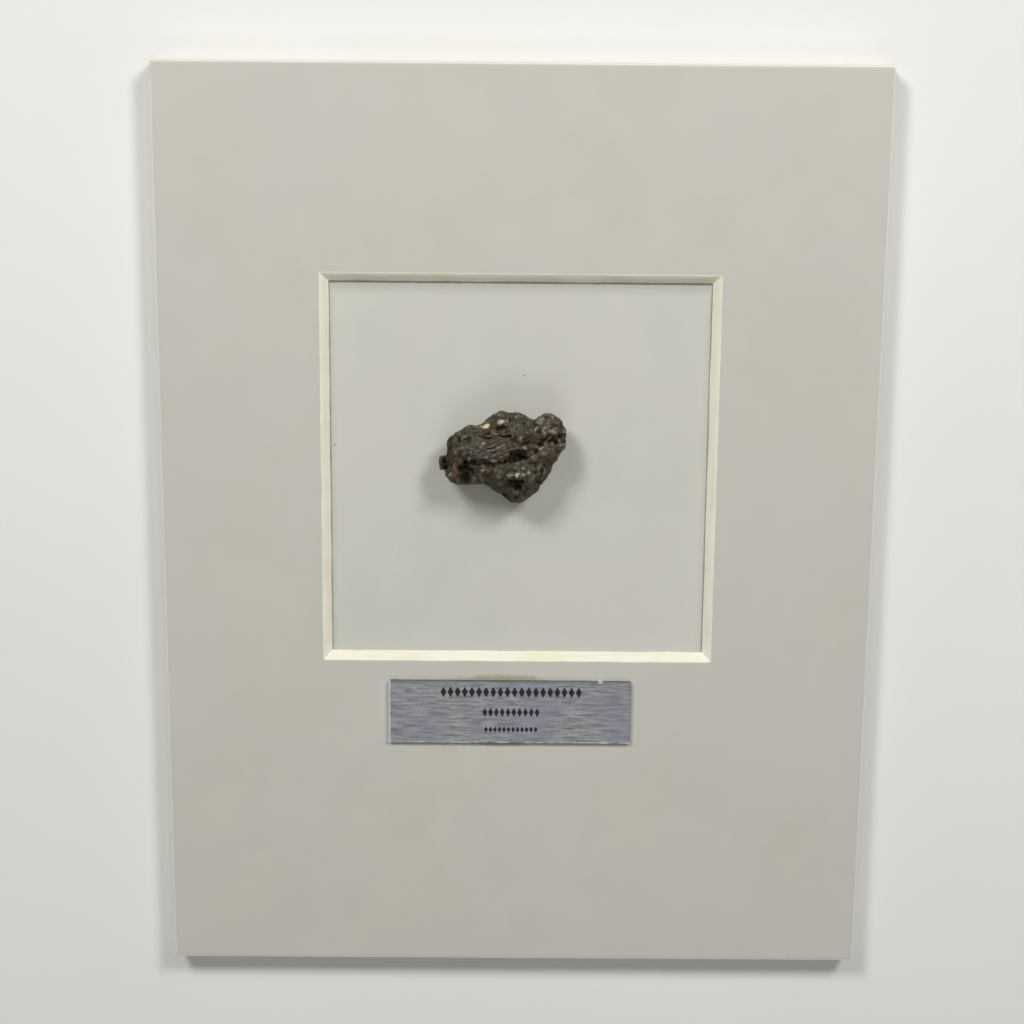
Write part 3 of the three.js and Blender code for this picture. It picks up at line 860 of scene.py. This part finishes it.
def store_marks(mesh, points, normals):
    """Keeps where the rock is dark (partly painted shade in its pits), pale (partly painted
    highlight streaks), rusty or olive, for its material.
    """
    facing = np.clip(normals[:, 2] + 0.6, 0, 1) * np.clip(points[:, 2] + 1.8, 0, 1)
    fray = 0.25 * noise_at(points, 0.8, 41.0) + 0.1 * noise_at(points, 0.3, 47.0)
    frayed = as_seen(points) + fray[:, None]
    dark = [(centre, half, 0, darkness) for centre, half, _, darkness in HOLLOWS]
    marks = [("rust", RUSTY, 1), ("olive", OLIVE, 1), ("dark", dark, 1.2), ("pale", PALE_GRAINS_AND_HIGHLIGHTS, 2)]
    for name, patches, hardness in marks + [("cream", CREAM, 3)]:
        stored(mesh, name, np.clip(covered(frayed, patches, hardness), 0, 1) * facing)


def stands_out(points, edges, normals, relief):
    """How far the points stand out of their surroundings, with its sign."""
    rounds, full = relief
    return ((points - smoothed(points, edges, rounds)) * normals).sum(1) / full


def stone():
    """The solid's form in fine cells, with the rock's ropes, seams, knobs and hollows."""
    rng = np.random.default_rng(13)
    mesh, ways = cell_sphere()
    edges = edges_of(mesh)
    points, nub = squared_nub(smoothed(solid_skin(ways), edges, SOLID_SMOOTHING))
    write_points(mesh, points)
    raised = stone_height(points, rng) * (1 - NUB_CALM * nub)
    rough = smoothed(points + normals_of(mesh) * raised[:, None], edges, 1)
    lowest = BACKING_FACE_MM - STONE_ORIGIN_MM[2]
    rough[:, 2] = np.maximum(rough[:, 2], lowest)
    write_points(mesh, rough)

    normals = normals_of(mesh)
    # relief and hollow set the painted shade, highlights and glints in the material
    stored(mesh, "relief", stands_out(rough, edges, normals, SMALL_RELIEF))
    stored(mesh, "hollow", -stands_out(rough, edges, normals, BROAD_RELIEF))
    store_marks(mesh, rough, normals)
    write_points(mesh, (rough + STONE_ORIGIN_MM) * MM)
    mesh.polygons.foreach_set("use_smooth", np.ones(len(mesh.polygons), bool))
    take_place(mesh, stone_material(), "meteorite")


# The boards and the plate


def rectangle(half_x, half_y, centre=(0.0, 0.0), unevenness=0.0, seed=0.0):
    """Points round a rectangle on the mount, its sides straight or a little uneven."""
    corners = np.array([(-half_x, -half_y), (half_x, -half_y), (half_x, half_y), (-half_x, half_y)])
    share = np.arange(SIDE_STEPS) / SIDE_STEPS
    settle = np.minimum(1, np.minimum(share, 1 - share) * 30)  # 0 at the corners
    sides = []
    for k in range(4):
        along = corners[(k + 1) % 4] - corners[k]
        line = corners[k] + share[:, None] * along + centre
        outwards = np.array([along[1], -along[0]]) / np.linalg.norm(along)
        flat = np.column_stack([line, np.zeros(SIDE_STEPS)])
        wander = noise_at(flat, 5.0, seed) + 0.4 * noise_at(flat, 1.4, seed)
        sides.append(line + outwards * (unevenness * wander * settle)[:, None])
    return np.concatenate(sides)


def mat():
    """The mat: paper over a pale core, its window cut a little unevenly at a slope."""
    half_x, half_y = BOARD_HALF_MM
    loops = []
    for inset, height in SIDE_PROFILE_MM:
        loops.append((rectangle(half_x - inset, half_y - inset), height))
    for outset, drop in WINDOW_PROFILE_MM:
        half = WINDOW_HALF_MM + outset
        seed = FACE_SEED if drop < 0.5 else FOOT_SEED
        cut = rectangle(half, half, WINDOW_CENTRE_MM, CUT_UNEVENNESS_MM, seed)
        loops.append((cut, MAT_FACE_MM - drop))
    bm, rings, mesh = stacked("mat", loops)
    for i in range(len(rings[0])):
        j = (i + 1) % len(rings[0])
        bm.faces.new((rings[-1][i], rings[-1][j], rings[0][j], rings[0][i]))
    bm.to_mesh(mesh)
    bm.free()
    mesh.polygons.foreach_set("use_smooth", np.ones(len(mesh.polygons), bool))
    mesh.set_sharp_from_angle(angle=math.radians(30))
    take_place(mesh, mat_material(), "mat_board")


def backing():
    """The backing board keeps the solid's form, with its sharp edges worn round."""
    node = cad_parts["backing_board"]
    node.data.materials.clear()
    node.data.materials.append(backing_material())
    rounding = node.modifiers.new("worn_edges", "BEVEL")
    rounding.width = WORN_EDGE_MM * MM
    rounding.segments = 3


def corner_arc(x, y, radius, turn):
    """Points round a corner of the plate, from its centre."""
    middle = np.array([x - math.copysign(radius, x), y - math.copysign(radius, y)])
    angles = math.pi + turn + np.linspace(0, math.pi / 2, 7)
    return middle + radius * np.column_stack([np.cos(angles), np.sin(angles)])


def filed_side(start, end, rng):
    """Points along a side of the plate, each filed in by a little."""
    length = np.linalg.norm(end - start)
    along = (end - start) / length
    inwards = np.array([-along[1], along[0]])
    far = np.arange(FILING_STEP_MM, length - FILING_STEP_MM / 2, FILING_STEP_MM)[:, None]
    return start + along * far + inwards * rng.uniform(0, FILING_DEPTH_MM, far.shape)


def plate_outline():
    """The plate's outline: its corners worn, its sides filed by hand, one nick on top."""
    rng = np.random.default_rng(5)
    half_x, half_y = PLATE_HALF_MM
    corners = [(-half_x, -half_y), (half_x, -half_y), (half_x, half_y), (-half_x, half_y)]
    arcs = []
    for k, (corner, radius) in enumerate(zip(corners, PLATE_CORNERS_MM)):
        arcs.append(corner_arc(*corner, radius, k * math.pi / 2))
    sides = [filed_side(arc[-1], arcs[(k + 1) % 4][0], rng) for k, arc in enumerate(arcs)]
    top = sides[2]
    off_nick = (top[:, 0] + PLATE_CENTRE_MM[0] - NICK_X_MM) / NICK_HALF_WIDTH_MM
    top[:, 1] -= NICK_DEPTH_MM * np.exp(-(off_nick**2))
    pieces = [piece for pair in zip(arcs, sides) for piece in pair]
    return np.concatenate(pieces) + PLATE_CENTRE_MM


def inset_loop(outline, inset):
    """The outline moved inwards."""
    along = np.roll(outline, -1, axis=0) - np.roll(outline, 1, axis=0)
    along = along / np.linalg.norm(along, axis=1)[:, None]
    return outline + np.column_stack([-along[:, 1], along[:, 0]]) * inset


def plate():
    """A thin metal plate with a filed edge, on the mat."""
    outline = plate_outline()
    foot = PLATE_FOOT_CHAMFER_MM
    chamfer = PLATE_CHAMFER_MM
    levels = [(foot, PLATE_BOTTOM_MM), (0.0, PLATE_BOTTOM_MM + foot), (0.0, PLATE_TOP_MM - chamfer)]
    levels += [(chamfer * 0.3, PLATE_TOP_MM - chamfer * 0.3), (chamfer, PLATE_TOP_MM)]
    loops = [(inset_loop(outline, inset), height) for inset, height in levels]
    bm, rings, mesh = stacked("plate", loops)
    bm.faces.new(rings[-1])
    bm.faces.new(rings[0][::-1])
    bmesh.ops.triangulate(bm, faces=[f for f in bm.faces if len(f.verts) > 4])
    bm.to_mesh(mesh)
    bm.free()
    take_place(mesh, plate_material(), "label_plate")


# The studio


def area_light(name, stand, size, power):
    """A lamp that stands somewhere and faces the origin."""
    data = bpy.data.lights.new(name, "AREA")
    data.shape = "RECTANGLE"
    data.size, data.size_y = size
    data.energy = power
    lamp = bpy.data.objects.new(name, data)
    bpy.context.scene.collection.objects.link(lamp)
    lamp.location = stand
    lamp.rotation_euler = (-Vector(stand)).to_track_quat("-Z", "Y").to_euler()


def lighting():
    """The lamps and a dim, even world."""
    scene = bpy.context.scene
    scene.view_settings.view_transform = "Standard"
    scene.world = bpy.data.worlds.new("studio")
    scene.world.use_nodes = True
    background = scene.world.node_tree.nodes["Background"]
    background.inputs["Color"].default_value = WORLD_TINT
    background.inputs["Strength"].default_value = WORLD_STRENGTH
    for lamp in LAMPS:
        area_light(*lamp)


def floor():
    """A plain pale floor just under the boards."""
    bpy.ops.mesh.primitive_plane_add(size=FLOOR_SIDE, location=(0, 0, -FLOOR_DROP))
    plane = bpy.context.object
    plane.name = "floor"
    plane.data.materials.append(floor_material())


def camera():
    """The photograph's camera."""
    data = bpy.data.cameras.new("camera")
    data.sensor_width = SENSOR_MM
    data.lens = LENS_MM
    data.clip_start = 0.01
    made = bpy.data.objects.new("camera", data)
    bpy.context.scene.collection.objects.link(made)
    made.location = CAMERA_PLACE
    made.rotation_euler = [math.radians(a) for a in CAMERA_TURN_DEG]
    bpy.context.scene.camera = made


lighting()
floor()
camera()
backing()
mat()
plate()
stone()
